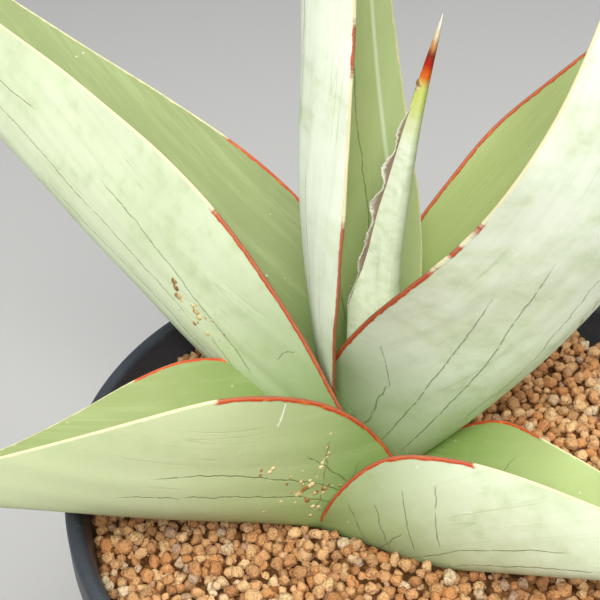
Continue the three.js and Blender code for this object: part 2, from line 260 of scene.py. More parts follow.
def leaf_blade(name, leaf, stations=300, round_section=240):
    """
    One closed skin. Round the section, v is the cosine of an angle that runs once round, so the points crowd
    at the margins, which are half circles. Soft swells lift the faces, and the margins wander a little.
    """
    rng = np.random.default_rng(SEED + list(LEAVES).index(name))
    t = np.linspace(0, 1, stations, endpoint=False)[:, None]
    angle = 2 * np.pi * np.arange(round_section) / round_section
    v = np.cos(angle)[None, :]
    width = half_width(leaf, t)
    thickness = leaf["thickness"] * np.sqrt(width / leaf["width"][1])
    start = 1 - np.clip(MARGIN_SHARE * thickness / 2 / np.maximum(width, 1e-6), 0, 0.5)
    rounding = np.sqrt(1 - np.clip((np.abs(v) - start) / (1 - start), 0, 1) ** 2)
    inner = rounding * np.sign(np.round(np.sin(angle), 9))[None, :]
    t_grid, v_grid = np.broadcast_arrays(t, v)
    along, across = t_grid * leaf["length"], v_grid * width
    inside = inner > 0
    places = (along, across + np.where(inside, FACE_APART, 0))
    calm = (1 - np.abs(v_grid) ** 6) * np.minimum(1, width / CALM_WIDTH)
    lift = calm * sum(height * ripple(rng, places, wave) for height, wave in SWELLS)
    points = blade_point(leaf, t_grid, v_grid, inner, lift)
    axes = leaf_axes(leaf, t[:, 0])
    wander = MARGIN_WANDER * ripple(rng, (along, np.sign(v_grid) * 50.0), WANDER_WAVE)
    wander *= np.minimum(1, width / CALM_WIDTH)
    points += axes[1][:, None, :] * (wander * np.abs(v_grid) ** 8 * np.sign(v_grid))[..., None]
    tip = leaf_path(leaf, np.array([1.0]))
    vertices = np.vstack([points.reshape(-1, 3), tip]) * MM
    count = stations * round_section
    skin = grid_faces(stations, round_section, wrap=True)
    j = np.arange(round_section)
    last = (stations - 1) * round_section
    point = np.stack([last + j, last + (j + 1) % round_section, np.full_like(j, count)], -1)
    half = round_section // 2
    k = np.arange(1, half - 1)
    mirror = (round_section - k) % round_section
    cap = np.stack([k, k + 1, mirror - 1, mirror], -1)[:, ::-1]
    ends = np.array([[0, 1, round_section - 1], [half - 1, half, half + 1]])[:, ::-1]
    faces = [face[::-1] for part in (skin, point, cap, ends) for face in part.tolist()]
    piece = new_piece(name + "_blade", vertices, faces)
    blade = np.stack([t_grid, v_grid, np.broadcast_to(width, t_grid.shape)], -1).reshape(-1, 3)
    add_attribute(piece, "blade", np.vstack([blade, [1, 0, 0]]))
    add_attribute(piece, "face_side", np.append(np.broadcast_to(inner, t_grid.shape).ravel(), 0))
    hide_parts(name)
    return piece


# ---- Pot ----

POT_SEGMENTS = 240  # a multiple of the number of drain holes


def arc(centre, radius, start, end, steps):
    """Points on an arc of a circle in a radius-and-height plane, with the angles in degrees."""
    angle = np.radians(np.linspace(start, end, steps + 1))
    return np.stack([centre[0] + radius * np.cos(angle), centre[1] + radius * np.sin(angle)], -1)


def inside_radius(height):
    """Inner radius of the tapered wall at a height."""
    top = RIM_RADIUS - RIM_WIDTH
    return FOOT_RADIUS - WALL + (top + WALL - FOOT_RADIUS) * height / POT_HEIGHT


def pot_profile():
    """Radius and height from the underside, up the outer wall, over the rolled rim and down to the floor."""
    lip = RIM_WIDTH / 2
    band = POT_HEIGHT - RIM_DEPTH
    step = 0.5 * MM
    bead = 0.8 * MM
    wall_foot = np.array([FOOT_RADIUS, FOOT_ROUND])
    wall_head = np.array([inside_radius(band) + WALL, band - step])
    rise = np.linspace(0, 1, 14)[1:, None]
    inner_head = np.array([inside_radius(band), band])
    inner_foot = np.array([inside_radius(FLOOR + FOOT_ROUND), FLOOR + FOOT_ROUND])
    return np.vstack([
        arc((FOOT_RADIUS - FOOT_ROUND, FOOT_ROUND), FOOT_ROUND, -90, 0, 6),
        wall_foot + (wall_head - wall_foot) * rise,
        arc((RIM_RADIUS - bead, band + bead - step), bead, -90, 0, 4),
        arc((RIM_RADIUS - lip, POT_HEIGHT - lip), lip, 0, 180, 14),
        inner_head[None, :],
        inner_head + (inner_foot - inner_head) * rise,
        arc((inner_foot[0] - FOOT_ROUND, inner_foot[1]), FOOT_ROUND, 0, -90, 5)[1:],
    ])


def floor_patch(outer_radius, height):
    """
    One sector of the pot's floor round its drain hole, as rings of points from the hole to the sector's edge.
    The edge runs from the middle out along one side, round the arc and back. Each ring's points lie on the
    straight lines that join the hole's circle to the edge, so that neighbouring sectors share side points.
    """
    half = math.pi / DRAIN_HOLES
    arc_steps = POT_SEGMENTS // DRAIN_HOLES
    side = np.linspace(0, outer_radius, 9)
    turn = np.linspace(-half, half, arc_steps + 1)
    edge = np.vstack([
        side[:-1, None] * [math.cos(half), -math.sin(half)],
        outer_radius * np.stack([np.cos(turn), np.sin(turn)], -1),
        side[-2:0:-1, None] * [math.cos(half), math.sin(half)],
    ])
    outward = edge - [DRAIN_CIRCLE, 0]
    hole = [DRAIN_CIRCLE, 0] + DRAIN_RADIUS * outward / np.linalg.norm(outward, axis=1, keepdims=True)
    share = np.linspace(0, 1, 5)[:, None, None]
    flat = hole + (edge - hole) * share
    return np.concatenate([flat, np.full(flat.shape[:2] + (1,), height)], -1)


def welded(points, faces, distance=1e-7):
    """Joins the corners that lie on each other: each takes the number of the first at its place."""
    places = np.round(points / distance).astype(np.int64)
    _, first, back = np.unique(places, axis=0, return_index=True, return_inverse=True)
    return points[first], back.ravel()[faces]


def pot_shell():
    """The wall is a profile turned once round. The floor is six sectors, each with its drain hole."""
    profile = pot_profile()
    turn = 2 * np.pi * np.arange(POT_SEGMENTS) / POT_SEGMENTS - math.pi / DRAIN_HOLES
    ring = np.stack([np.cos(turn), np.sin(turn)], -1)
    wall = np.concatenate([
        profile[:, None, :1] * ring[None],
        np.broadcast_to(profile[:, None, 1:], (len(profile), POT_SEGMENTS, 1)),
    ], -1)
    points, count = [wall.reshape(-1, 3)], wall[..., 0].size
    faces = [grid_faces(len(profile), POT_SEGMENTS, wrap=True)]
    for hole in range(DRAIN_HOLES):
        below = floor_patch(profile[0, 0], 0)
        above = floor_patch(profile[-1, 0], FLOOR)
        sector = np.concatenate([below[::-1], above])
        angle = 2 * math.pi * hole / DRAIN_HOLES
        c, s = math.cos(angle), math.sin(angle)
        rows, columns = sector.shape[:2]
        points.append(sector.reshape(-1, 3) @ [[c, s, 0], [-s, c, 0], [0, 0, 1]])
        faces.append(grid_faces(rows, columns, wrap=True, start=count)[:, ::-1])
        count += rows * columns
    piece = new_piece("pot_shell", *welded(np.vstack(points), np.vstack(faces)))
    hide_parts("pot")
    return piece


# ---- Granule bed ----

GRAIN_SIZE = (0.65 * MM, 1.5 * MM)  # radius of the smallest and the biggest granules
GRAIN_SPREAD = (1.6, 1.9)  # the two powers of the beta law that the sizes follow
GRAIN_PIECES = 2
GRAIN_TRIES = 7  # places that a granule tries, to take the lowest
GRAIN_MISSES = 1500  # how many granules find no room before the bed is full
GRAIN_NESTING = 0.93  # distance between touching granules, as a share of their two radii
GRAIN_SWELL = 1.08  # how much bigger a granule is drawn than its resting radius
GRAIN_GAP = 0.05 * MM
BED_DROP = 3.9 * MM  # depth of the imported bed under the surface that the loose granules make
BED_SWELL = 0.5 * MM
BED_WAVE = 22 * MM


def soil_bed():
    """A disc of packed bed under the loose granules, with a rolling top, down to the pot's floor."""
    level = SOIL_TOP - BED_DROP
    foot, waist = FLOOR + GRAIN_GAP, FLOOR + FOOT_ROUND
    rng = np.random.default_rng(SEED)
    edge = inside_radius(level) - GRAIN_GAP
    share = np.linspace(0, 1, 60)[1:, None]
    turn = np.linspace(0, 2 * np.pi, 180, endpoint=False)[None, :]

    def level_ring(radius, height):
        return np.stack([radius * np.cos(turn), radius * np.sin(turn), np.full(turn.shape, height)], -1)

    x, y = edge * share * np.cos(turn), edge * share * np.sin(turn)
    z = level + BED_SWELL * ripple(rng, (x, y), (BED_WAVE, BED_WAVE)) * (1 - share**6)
    rings = np.concatenate([
        np.stack([x, y, z], -1),
        level_ring(inside_radius(waist) - GRAIN_GAP, waist),
        level_ring(inside_radius(FLOOR) - FOOT_ROUND, foot),
    ])
    piece = new_piece("granule_bed", *closed_rings(rings, [0, 0, level], [0, 0, foot]))
    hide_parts("soil")
    return piece


def settle_granules(blades):
    """
    Drops granules one by one. Each tries a few places, and takes the one where it would come to rest lowest
    on the granules under it, clear of the wall and of the leaves. Returns centres, (n, 3), and radii.
    """
    rng = np.random.default_rng(SEED + 1)
    sunk, headroom, leaf_gap, leaf_search = 0.3, 0.6, 0.7, 4  # in radii of the granule
    wall = inside_radius(SOIL_TOP)
    trees = [BVHTree.FromObject(blade, bpy.context.evaluated_depsgraph_get()) for blade in blades]
    cell = 2.2 * GRAIN_SIZE[1]  # a little over the widest granule, so that neighbouring cells are enough
    cells = {}
    centres, radii = [], []
    bed = SOIL_TOP - BED_DROP
    full = SOIL_TOP - 0.2 * MM

    def rest_height(x, y, radius):
        """Height at which a granule let down at x, y first touches the bed or another granule."""
        height = bed + sunk * radius
        i, j = int(x // cell), int(y // cell)
        for near in (cells.get((i + a, j + b), ()) for a in (-1, 0, 1) for b in (-1, 0, 1)):
            for other in near:
                cx, cy, cz = centres[other]
                reach = (radius + radii[other]) * GRAIN_NESTING
                gap = reach * reach - (x - cx) ** 2 - (y - cy) ** 2
                if gap > 0:
                    height = max(height, cz + math.sqrt(gap))
        return height

    def clear_of_leaves(x, y, z, radius):
        """True if the point is outside every leaf and far enough from its skin."""
        centre = Vector((x, y, z))
        for tree in trees:
            place, normal, _, away = tree.find_nearest(centre, leaf_search * radius)
            if place is not None and (away < leaf_gap * radius or (centre - place).dot(normal) < 0):
                return False
        return True

    missed = 0
    while missed < GRAIN_MISSES:
        radius = GRAIN_SIZE[0] + (GRAIN_SIZE[1] - GRAIN_SIZE[0]) * rng.beta(*GRAIN_SPREAD)
        reach = (wall - radius) * np.sqrt(rng.random(GRAIN_TRIES))
        turn = rng.uniform(0, 2 * np.pi, GRAIN_TRIES)
        places = zip(reach * np.cos(turn), reach * np.sin(turn))
        height, x, y = min((rest_height(x, y, radius), x, y) for x, y in places)
        if height > full - headroom * radius or not clear_of_leaves(x, y, height, radius):
            missed += 1
            continue
        cells.setdefault((int(x // cell), int(y // cell)), []).append(len(centres))
        centres.append((x, y, height))
        radii.append(radius)
    return np.array(centres), np.array(radii)


def crumb_shapes(rng, kinds=24, cuts=3, flats=7):
    """
    Granule shapes of unit radius: a cube's faces in a grid of three by three, drawn out to a squared ball,
    then pushed in by a few random flats and stretched a little. Returns points (kinds, n, 3) and their quads.
    """
    squareness, cube_size = 0.38, 0.85
    flat_depth, flat_push = (0.62, 0.85), 0.9
    bumps, stretch = 0.055, (0.85, 1.22)
    line = np.linspace(-1, 1, cuts + 1)
    u, v = np.meshgrid(line, line, indexing="ij")
    sides = []
    for axis in range(3):
        for sign in (-1, 1):
            side = np.stack([np.full_like(u, sign), u, v * sign], -1)
            sides.append(np.roll(side, axis, axis=-1).reshape(-1, 3))
    points = np.vstack(sides)
    faces = np.vstack([grid_faces(cuts + 1, cuts + 1, start=k * (cuts + 1) ** 2) for k in range(6)])
    cube, faces = welded(points, faces, distance=1e-6)
    ball = cube / np.linalg.norm(cube, axis=1, keepdims=True)
    ball = (1 - squareness) * ball + squareness * cube / np.abs(cube).max(1, keepdims=True) * cube_size
    shapes = []
    for _ in range(kinds):
        shape = ball.copy()
        for _ in range(flats):
            way = rng.normal(size=3)
            way /= np.linalg.norm(way)
            over = np.maximum(shape @ way - rng.uniform(*flat_depth), 0)
            shape -= over[:, None] * way * flat_push
        shape += rng.normal(0, bumps, shape.shape)
        shape *= rng.uniform(*stretch, 3)
        shapes.append(shape / np.cbrt(np.prod(shape.max(0) - shape.min(0)) / 8))
    return np.array(shapes), faces


def random_turns(rng, count):
    """Evenly spread random rotations, (count, 3, 3), from random unit quaternions."""
    w, x, y, z = rng.normal(size=(count, 4)).T
    size = np.sqrt(w * w + x * x + y * y + z * z)
    w, x, y, z = w / size, x / size, y / size, z / size
    rows = [
        [1 - 2 * (y * y + z * z), 2 * (x * y - z * w), 2 * (x * z + y * w)],
        [2 * (x * y + z * w), 1 - 2 * (x * x + z * z), 2 * (y * z - x * w)],
        [2 * (x * z - y * w), 2 * (y * z + x * w), 1 - 2 * (x * x + y * y)],
    ]
    return np.moveaxis(np.array(rows), 2, 0)


def loose_granules(blades):
    """All the granules as a few pieces, each granule a random shape turned at random."""
    centres, radii = settle_granules(blades)
    rng = np.random.default_rng(SEED + 2)
    shapes, quads = crumb_shapes(rng)
    kind = rng.integers(0, len(shapes), len(centres))
    turned = np.einsum("nij,nkj->nki", random_turns(rng, len(centres)), shapes[kind])
    points = turned * radii[:, None, None] * GRAIN_SWELL + centres[:, None, :]
    tint = rng.random(len(centres))
    pieces = []
    for part in range(GRAIN_PIECES):
        chosen = slice(part, None, GRAIN_PIECES)
        own, corners = points[chosen], points.shape[1]
        faces = (quads[None] + corners * np.arange(len(own))[:, None, None]).reshape(-1, 4)
        piece = new_piece(f"granules_{part + 1}", own.reshape(-1, 3), faces)
        add_attribute(piece, "tint", np.repeat(tint[chosen], corners))
        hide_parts("soil")
        pieces.append(piece)
    return pieces


# ---- Rhizome and roots ----

ROOT_COUNT = 6
ROOT_RADIUS = 2.4 * MM
ROOT_REACH = 40 * MM
ROOT_DROP = 46 * MM
ROOT_BEND = 0.55
ROOT_FIRST_HEADING = 20
ROOT_SWAY = 1.2 * MM
RHIZOME_RADIUS = 20 * MM
RHIZOME_LENGTH = 30 * MM
RHIZOME_CENTRE = (-10 * MM, 4 * MM)
RHIZOME_INSET = 0.8 * MM  # how far the skin lies inside that radius, to leave room for its ridges
RHIZOME_SCARS = 7
SCAR_HEIGHT = 0.35 * MM
SKIN_ROUGHNESS = 0.25 * MM


def rhizome_stem(rings=70, round_stem=96):
    """A round-ended barrel, (1 - |2s - 1|^5)^0.5, with the wandering ring scars of old leaves round it."""
    rng = np.random.default_rng(SEED + 3)
    top = RHIZOME_TOP - 0.4 * MM
    s = np.linspace(0, 1, rings + 1)[1:-1, None]
    turn = np.linspace(0, 2 * np.pi, round_stem, endpoint=False)[None, :]
    bulge = (1 - np.abs(2 * s - 1) ** 5) ** 0.5
    wander = 0.12 * np.sin(2 * turn) + 0.05 * np.sin(5 * turn)
    scars = SCAR_HEIGHT * np.sin(2 * np.pi * (RHIZOME_SCARS * s + wander))
    rough = SKIN_ROUGHNESS * ripple(rng, (turn * 20 + 0 * s, 60 * s + 0 * turn), (9, 5))
    radius = (RHIZOME_RADIUS - RHIZOME_INSET + scars + rough) * bulge
    x = RHIZOME_CENTRE[0] + radius * np.cos(turn)
    y = RHIZOME_CENTRE[1] + radius * np.sin(turn)
    z = top - RHIZOME_LENGTH * s + 0 * turn
    return closed_rings(
        np.stack([x, y, z], -1), [*RHIZOME_CENTRE, top], [*RHIZOME_CENTRE, top - RHIZOME_LENGTH]
    )


def root(heading, rng, steps=60, sides=16):
    """A wrinkled tube along a quadratic curve that runs out level and bends down, drawn to a point."""
    s = np.linspace(0, 1, steps)[:, None]
    reach = 2 * ROOT_BEND * ROOT_REACH * s * (1 - s) + ROOT_REACH * s**2
    drop = ROOT_DROP * s**2
    middle = RHIZOME_TOP - RHIZOME_LENGTH / 2
    sway = ROOT_SWAY * np.sin(2 * np.pi * (1.3 * s + rng.random())) * s
    out = np.array([math.cos(heading), math.sin(heading), 0])
    aside = np.array([-out[1], out[0], 0])
    centre = np.array([*RHIZOME_CENTRE, middle]) + reach * out + sway * aside - drop * [0, 0, 1]
    along = np.gradient(centre, axis=0)
    along /= np.linalg.norm(along, axis=1, keepdims=True)
    across = np.cross(along, aside)
    turn = np.linspace(0, 2 * np.pi, sides, endpoint=False)[None, :]
    wrinkle = 1 + 0.06 * np.sin(2 * np.pi * 22 * s + 2 * turn) + 0.05 * np.sin(2 * np.pi * 9 * s + 3 * turn)
    radius = 0.9 * ROOT_RADIUS * wrinkle * np.sqrt(np.clip(1.0001 - s**6, 0, 1)) * (1 - 0.35 * s)
    ring = np.cos(turn)[..., None] * aside + np.sin(turn)[..., None] * across[:, None, :]
    points = centre[:, None, :] + radius[..., None] * ring
    faces = grid_faces(steps, sides, wrap=True)
    ends = [np.arange(sides)[::-1], (steps - 1) * sides + np.arange(sides)]
    return points.reshape(-1, 3), faces.tolist() + [end.tolist() for end in ends]


def rhizome_and_roots():
    """The stem and its roots in one mesh, the roots starting inside the stem."""
    rng = np.random.default_rng(SEED + 4)
    points, faces = rhizome_stem()
    for k in range(ROOT_COUNT):
        heading = math.radians(ROOT_FIRST_HEADING) + 2 * math.pi * k / ROOT_COUNT
        more, corners = root(heading, rng)
        faces = faces + [[corner + len(points) for corner in face] for face in corners]
        points = np.vstack([points, more])
    piece = new_piece("rhizome_and_roots", points, faces)
    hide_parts("rhizome")
    return piece


# ---- Small growths on the leaves ----

# Patches of corky scabs: the leaf, where each patch lies on it as (t, v), how far it spreads along and across
# in millimetres, how many scabs it has, and their biggest radius in millimetres.
SCAB_PATCHES = [
    ("leaf_upper_left", (0.26, -0.50), (1.2, 0.8), 6, 1.0),
    ("leaf_upper_left", (0.235, -0.45), (3.0, 1.6), 16, 0.9),
    ("leaf_upper_left", (0.205, -0.42), (4.5, 2.6), 16, 0.5),
    ("leaf_lower_left", (0.20, -0.45), (3.5, 3.0), 34, 0.85),
    ("leaf_lower_left", (0.19, -0.68), (0.8, 3.6), 14, 0.6),
    ("leaf_lower_left", (0.15, -0.35), (3.5, 3.0), 12, 0.55),
    ("leaf_lower_left", (0.29, -0.60), (1.6, 1.2), 6, 0.6),
    ("leaf_spear", (0.875, 0.85), (0.3, 0.1), 2, 0.9),
]
SCAB_FOOT, SCAB_CROWN = -0.25, -0.2  # how deep the foot and the crown are let into the leaf, in millimetres
SCAB_RISE = 0.5  # height of a scab as a share of its radius


def scab_lumps(rings=5, sides=9):
    """Low domes on the outer faces: a grid of height by turn, each ring pushed in and out at random."""
    rng = np.random.default_rng(SEED + 5)
    turn = 2 * np.pi * np.arange(sides) / sides
    height = np.linspace(0, 1, rings)[:-1, None]
    step_t, step_v = 0.004, 0.02
    points, faces = [], []
    for name, (t0, v0), (spread_along, spread_across), count, biggest in SCAB_PATCHES:
        leaf = LEAVES[name]
        for _ in range(count):
            t = t0 + rng.normal(0, spread_along) / leaf["length"]
            v = v0 + rng.normal(0, spread_across) / leaf["width"][1]
            around = blade_point(leaf, np.array([t, t + step_t, t]), np.array([v, v, v + step_v]), -1.0)
            first, second = around[1] - around[0], around[2] - around[0]
            normal = np.cross(second, first)
            normal /= np.linalg.norm(normal)
            outside = blade_point(leaf, np.array([t]), v, -1.0, lift=1.0)[0] - around[0]
            normal *= np.sign(normal @ outside)
            first /= np.linalg.norm(first)
            second = np.cross(normal, first)
            radius = biggest * rng.uniform(0.35, 1.0)
            squash, bearing = rng.uniform(0.6, 1.0), rng.uniform(0, np.pi)
            reach = radius * np.sqrt(1 - height**2) * (1 + rng.normal(0, 0.12, (rings - 1, sides)))
            x = reach * np.cos(turn) * np.cos(bearing) - reach * squash * np.sin(turn) * np.sin(bearing)
            y = reach * np.cos(turn) * np.sin(bearing) + reach * squash * np.sin(turn) * np.cos(bearing)
            rise = SCAB_RISE * radius * height + SCAB_FOOT
            lump = around[0] + x[..., None] * first + y[..., None] * second + rise[..., None] * normal
            crown = around[0] + (SCAB_RISE * radius + SCAB_CROWN) * normal
            start = sum(len(part) for part in points)
            points.append(np.vstack([lump.reshape(-1, 3), crown]))
            faces += grid_faces(rings - 1, sides, wrap=True, start=start).tolist()
            top = start + (rings - 1) * sides
            last = start + (rings - 2) * sides
            faces += [[last + k, last + (k + 1) % sides, top] for k in range(sides)]
            faces.append([start + k for k in range(sides)][::-1])
    piece = new_piece("leaf_scabs", np.vstack(points) * MM, faces)
    return piece


TORN_THICKNESS = 0.09  # half the dry skin's thickness, in millimetres


def papery_strip(name, leaf, side, t_range, width, seed, steps=160, across=10):
    """
    A torn, dry skin along one margin of a leaf: a ribbon a few strips wide whose free edge is ragged and
    curls back. It starts on the margin and stands out along the blade's own tangent.
    """
    rng = np.random.default_rng(seed)
    t = np.linspace(*t_range, steps)
    s = np.linspace(0, 1, across + 1)[None, :]
    face, tuck = -0.2, 0.3  # a little to the outer side of the margin's middle, and tucked in under it
    margin = blade_point(leaf, t, side * 0.99, face)
    out = margin - blade_point(leaf, t, side * 0.9, face)
    out /= np.linalg.norm(out, axis=1, keepdims=True)
    bend = np.cross(leaf_axes(leaf, t)[0], out)
    fade = np.sin(np.pi * np.clip((t - t_range[0]) / (t_range[1] - t_range[0]), 0, 1)) ** 0.5
    ragged = 0.55 + 0.3 * ripple(rng, (t * leaf["length"], t * 0), (9, 9)) + 0.22 * rng.random(steps)
    reach = (width * fade * np.clip(ragged, 0.15, 1.3))[:, None] * s
    places = (t[:, None] * leaf["length"] + 0 * s, 4 * s + 0 * t[:, None])
    curl = 0.9 * s + 0.3 * ripple(rng, places, (11, 6)) * s
    out, bend, curl = out[:, None], bend[:, None], curl[..., None]
    sheet = margin[:, None] - out * tuck + (out * np.cos(curl) + bend * np.sin(curl)) * reach[..., None]
    normal = bend * np.cos(curl) - out * np.sin(curl)
    lift = TORN_THICKNESS * normal
    both = np.concatenate([sheet + lift, (sheet - lift)[:, ::-1]], 1)
    rows, columns = both.shape[:2]
    faces = grid_faces(rows, columns, wrap=True).tolist()
    faces.append(list(range(columns))[::-1])
    faces.append([(rows - 1) * columns + k for k in range(columns)])
    piece = new_piece(name, both.reshape(-1, 3) * MM, faces)
    add_attribute(piece, "torn", np.tile(np.concatenate([s[0], s[0][::-1]]), steps))
    return piece


# ---- Finishes ----


def paint(code):
    """A linear colour with alpha from a six-figure screen colour."""
    channels = [int(code[k : k + 2], 16) / 255 for k in (0, 2, 4)]
    linear = [c / 12.92 if c <= 0.04045 else ((c + 0.055) / 1.055) ** 2.4 for c in channels]
    return (*linear, 1.0)


def operator(operation, reflected=False):
    """A Python operator that adds a Math node, with its two sides swapped if it is reflected."""

    def apply(self, other=0.0):
        first, second = (other, self) if reflected else (self, other)
        node = self.finish.node("ShaderNodeMath", {"operation": operation}, {0: first, 1: second})
        return Value(self.finish, node.outputs[0])

    return apply


class Value:
    """A number that varies over a surface. Python's operators on it add the Math nodes."""

    def __init__(self, finish, socket):
        self.finish = finish
        self.socket = socket

    __add__ = __radd__ = operator("ADD")
    __mul__ = __rmul__ = operator("MULTIPLY")
    __sub__ = operator("SUBTRACT")
    __rsub__ = operator("SUBTRACT", reflected=True)
    __truediv__ = operator("DIVIDE")
    __abs__ = operator("ABSOLUTE")
    highest = operator("MAXIMUM")
    fraction = operator("FRACT")

    def smooth(self, start, end):
        """0 at start and 1 at end, with soft ends. Start may be the bigger number."""
        low, high, first, last = (start, end, 0.0, 1.0) if start < end else (end, start, 1.0, 0.0)
        sockets = {"Value": self, "From Min": low, "From Max": high, "To Min": first, "To Max": last}
        node = self.finish.node("ShaderNodeMapRange", {"interpolation_type": "SMOOTHSTEP"}, sockets)
        return Value(self.finish, node.outputs["Result"])


class Finish:
    """
    A material with one Principled shader, and short ways to add the nodes that feed it. Its colour is built
    up in coats, each a six-figure screen colour or the output of a node.
    """

    def __init__(self, name, specular):
        self.material = bpy.data.materials.new(name)
        self.material.use_nodes = True
        self.tree = self.material.node_tree
        self.shader = next(node for node in self.tree.nodes if node.type == "BSDF_PRINCIPLED")
        self.shader.inputs["Specular IOR Level"].default_value = specular
        self.place = self.node("ShaderNodeTexCoord").outputs["Object"]
        self.colour = None

    def node(self, kind, settings=None, sockets=None):
        """Adds a node, sets its settings first and then the values or links of its sockets."""
        node = self.tree.nodes.new(kind)
        for setting, value in (settings or {}).items():
            setattr(node, setting, value)
        for socket, value in (sockets or {}).items():
            self.plug(node.inputs[socket], value)
        return node

    def plug(self, socket, value):
        """Links a socket to a Value or an output, or gives it a plain number or a screen colour."""
        if isinstance(value, Value):
            self.tree.links.new(value.socket, socket)
        elif isinstance(value, bpy.types.NodeSocket):
            self.tree.links.new(value, socket)
        else:
            socket.default_value = paint(value) if isinstance(value, str) else value

    def attribute(self, name):
        """The three numbers that the mesh keeps under this name."""
        vector = self.node("ShaderNodeAttribute", {"attribute_name": name}).outputs["Vector"]
        parts = self.node("ShaderNodeSeparateXYZ", None, {0: vector})
        return [Value(self, parts.outputs[k]) for k in range(3)]

    def number(self, name):
        """The one number that the mesh keeps under this name."""
        return Value(self, self.node("ShaderNodeAttribute", {"attribute_name": name}).outputs["Fac"])

    def spot(self, x, y, z=0.0):
        """A place to look textures up at, from three numbers."""
        return self.node("ShaderNodeCombineXYZ", None, {0: x, 1: y, 2: z}).outputs[0]

    def noise(self, scale, detail=2.0, roughness=0.5, place=None):
        """Cloudy noise from 0 to 1. Place is the object's own unless it is given."""
        sockets = {"Vector": place or self.place, "Scale": scale, "Detail": detail, "Roughness": roughness}
        return Value(self, self.node("ShaderNodeTexNoise", None, sockets).outputs["Fac"])

    def cells(self, scale, place=None):
        """Distance to the nearest of a cloud of random points."""
        sockets = {"Vector": place or self.place, "Scale": scale}
        return Value(self, self.node("ShaderNodeTexVoronoi", None, sockets).outputs["Distance"])

    def blend(self, share, first, second):
        """A colour that goes from first to second as share goes from 0 to 1."""
        settings = {"data_type": "RGBA", "clamp_factor": True}
        return self.node("ShaderNodeMix", settings, {0: share, 6: first, 7: second}).outputs[2]

    def coat(self, share, colour):
        """Lays a colour over what is there."""
        self.colour = self.blend(share, self.colour, colour)

    def done(self, roughness, height, depth, strength=1.0):
        """Feeds the shader its colour, its roughness and a relief depth metres deep where height is 1."""
        sockets = {"Height": height, "Distance": depth, "Strength": strength}
        self.plug(self.shader.inputs["Base Color"], self.colour)
        self.plug(self.shader.inputs["Roughness"], roughness)
        self.plug(self.shader.inputs["Normal"], self.node("ShaderNodeBump", None, sockets).outputs[0])
        return self.material


BLOOM = "eef6de"  # powdery wax over the green, also laid as a painted highlight on the upright leaf's crest
BARE = "c2d19c"  # where the wax is rubbed or thin
SHADED = "55722a"  # painted shade on the inner face low in the rosette
DEEP = "759534"  # deep green of the grain's flecks, also laid low in the rosette as painted shade
CRACK = "566b2e"
VEIN = "9db37a"
HORN = "c23c06"  # red margin
HORN_DARK = "882404"
# painted highlight on the red horn
HORN_HIGHLIGHT = "e87c20"
RIND = "e8dcae"  # pale edge of the margin
SCRATCH = "f3f5e6"
SCAR = "a8794e"

# Marks in the skin, each as t and v at one end and at the other, its breadth in millimetres and how far it
# wanders. Lengthwise marks are steady in v, and cross marks are steady in t.
CRACKS = {
    "leaf_upper_left": [
        (0.12, -0.47, 0.4, -0.64, 0.34, 0.03), (0.2, -0.38, 0.58, -0.45, 0.32, 0.03),
        (0.12, -0.25, 0.48, -0.25, 0.34, 0.03), (0.5, -0.66, 0.6, -0.62, 0.3, 0.02),
        (0.125, -0.72, 0.115, -0.9, 0.26, 0.02), (0.09, -0.3, 0.2, -0.42, 0.28, 0.03),
        (0.12, 0.3, 0.6, 0.25, 0.35, 0.05), (0.15, 0.6, 0.45, 0.5, 0.3, 0.05),
    ],
    "leaf_lower_left": [
        (0.1, -0.52, 0.52, -0.55, 0.34, 0.03), (0.06, -0.42, 0.58, -0.38, 0.34, 0.04),
        (0.15, -0.28, 0.2, -0.84, 0.28, 0.03), (0.09, -0.3, 0.115, -0.8, 0.26, 0.03),
        (0.08, -0.58, 0.24, -0.7, 0.3, 0.05), (0.05, -0.5, 0.16, -0.3, 0.28, 0.04),
        (0.1, 0.4, 0.55, 0.35, 0.35, 0.05), (0.12, 0.15, 0.15, 0.8, 0.3, 0.03),
    ],
    "leaf_lower_right": [
        (0.12, 0.32, 0.16, 0.9, 0.3, 0.015), (0.18, 0.35, 0.22, 0.78, 0.26, 0.015),
        (0.24, 0.3, 0.3, 0.8, 0.28, 0.012), (0.31, 0.3, 0.37, 0.82, 0.26, 0.012),
        (0.06, 0.3, 0.25, 0.5, 0.32, 0.05), (0.18, 0.22, 0.62, 0.38, 0.3, 0.04),
        (0.3, 0.14, 0.66, 0.18, 0.26, 0.04), (0.1, -0.35, 0.55, -0.3, 0.3, 0.05),
    ],
    "leaf_right": [
        (0.05, 0.22, 0.38, 0.6, 0.38, 0.015), (0.045, 0.4, 0.32, 0.7, 0.36, 0.015),
        (0.05, 0.58, 0.13, 0.69, 0.34, 0.04), (0.125, 0.66, 0.18, 0.88, 0.24, 0.03),
        (0.07, 0.93, 0.045, 0.6, 0.3, 0.03), (0.12, 0.12, 0.4, 0.3, 0.28, 0.04),
        (0.08, -0.3, 0.5, -0.25, 0.35, 0.05), (0.15, -0.62, 0.6, -0.5, 0.3, 0.05),
    ],
    "leaf_right_back": [
        (0.06, 0.3, 0.5, 0.25, 0.3, 0.05), (0.08, -0.35, 0.55, -0.3, 0.3, 0.05),
        (0.12, 0.6, 0.6, 0.5, 0.3, 0.05), (0.15, -0.15, 0.65, -0.1, 0.3, 0.04),
    ],
    "leaf_upright": [
        (0.16, -0.5, 0.34, -0.42, 0.26, 0.04), (0.2, -0.2, 0.6, -0.25, 0.26, 0.04),
        (0.15, 0.4, 0.6, 0.35, 0.26, 0.05),
    ],
}
